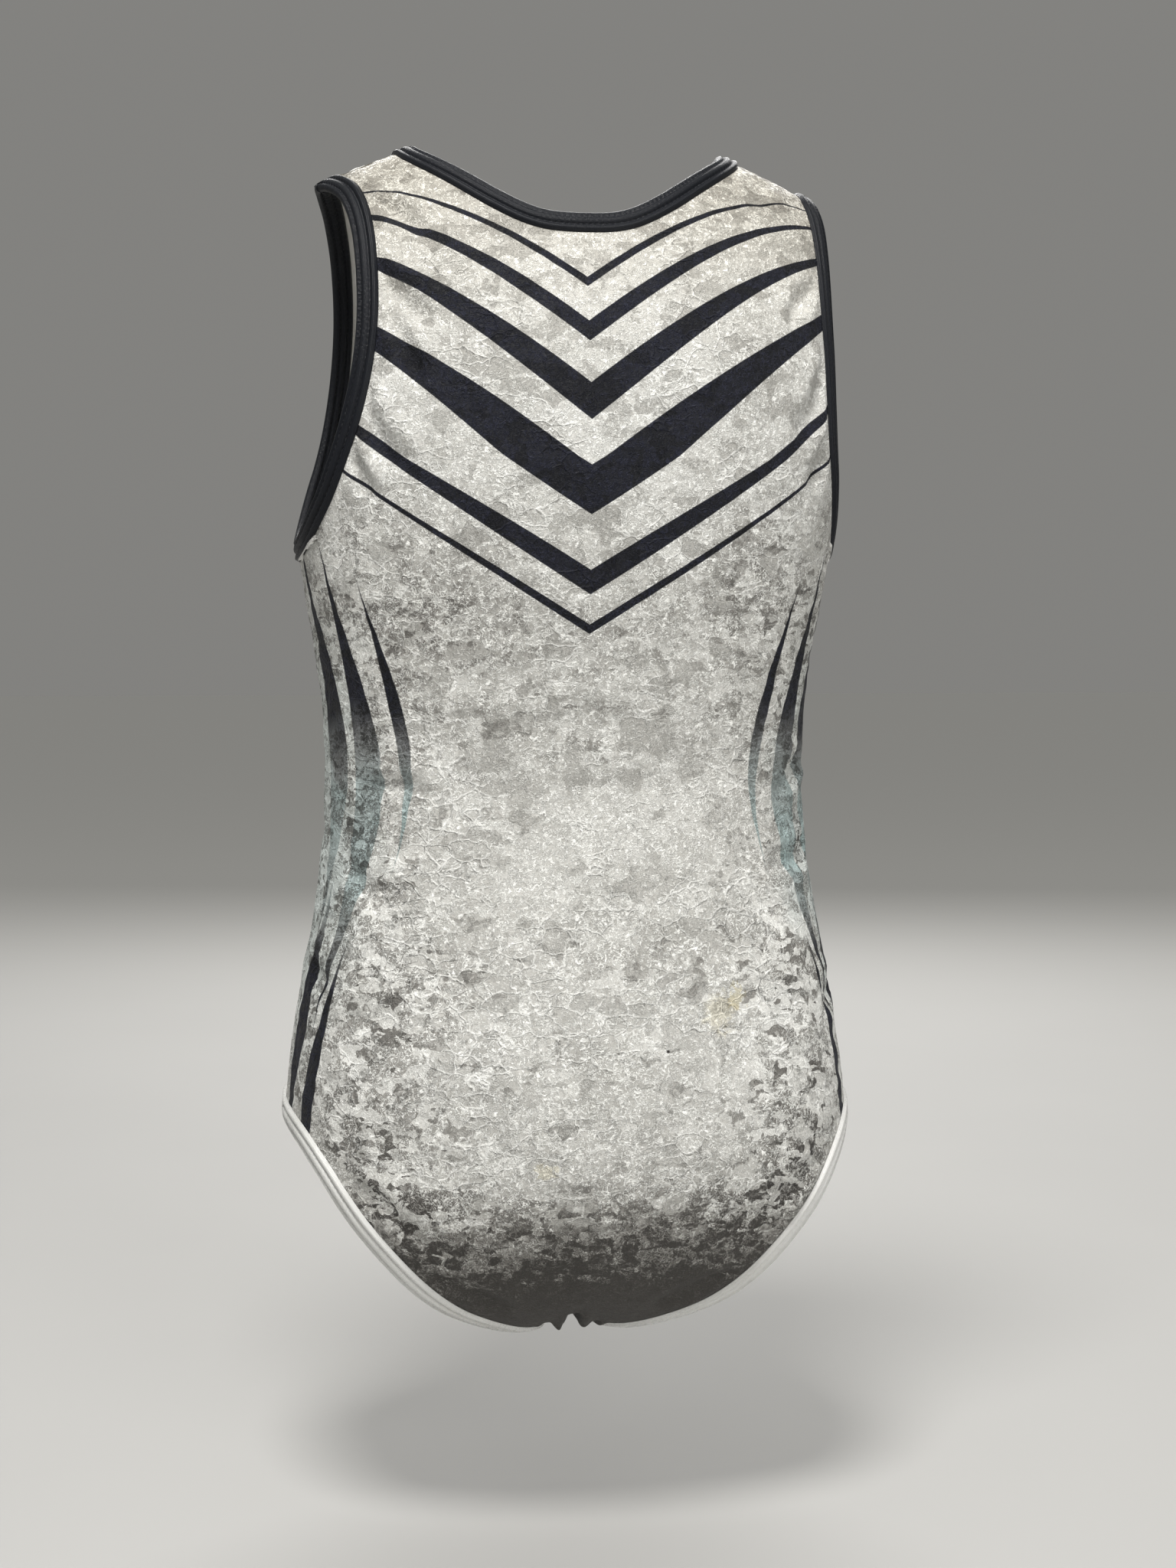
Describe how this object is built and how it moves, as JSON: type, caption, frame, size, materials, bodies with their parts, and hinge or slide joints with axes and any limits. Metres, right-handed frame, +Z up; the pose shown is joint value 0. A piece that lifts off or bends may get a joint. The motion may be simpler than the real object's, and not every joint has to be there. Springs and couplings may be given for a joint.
{
  "type": "leotard",
  "caption": "Child's sleeveless leotard in crushed velvet, in its worn hollow form, with a scoop neck, bound armholes and bound leg openings.",
  "frame": {"origin": "midway between the two shoulder straps, level with their crests, where the wearer's shoulders hold the garment up", "axes": "+Z up along the body, +Y towards the back, +X towards the wearer's left"},
  "size_m": [0.2466, 0.1664, 0.5084],
  "materials": {
    "velvet": "crushed velvet, silvery white",
    "dark_binding": "satin stretch lycra, near black navy",
    "white_binding": "satin stretch lycra, white"
  },
  "bodies": {
    "root": {"front_panel": "velvet", "back_panel": "velvet", "neck_binding": "dark_binding", "armhole_binding_left": "dark_binding", "armhole_binding_right": "dark_binding", "leg_binding_left": "white_binding", "leg_binding_right": "white_binding"}
  },
  "joints": []
}
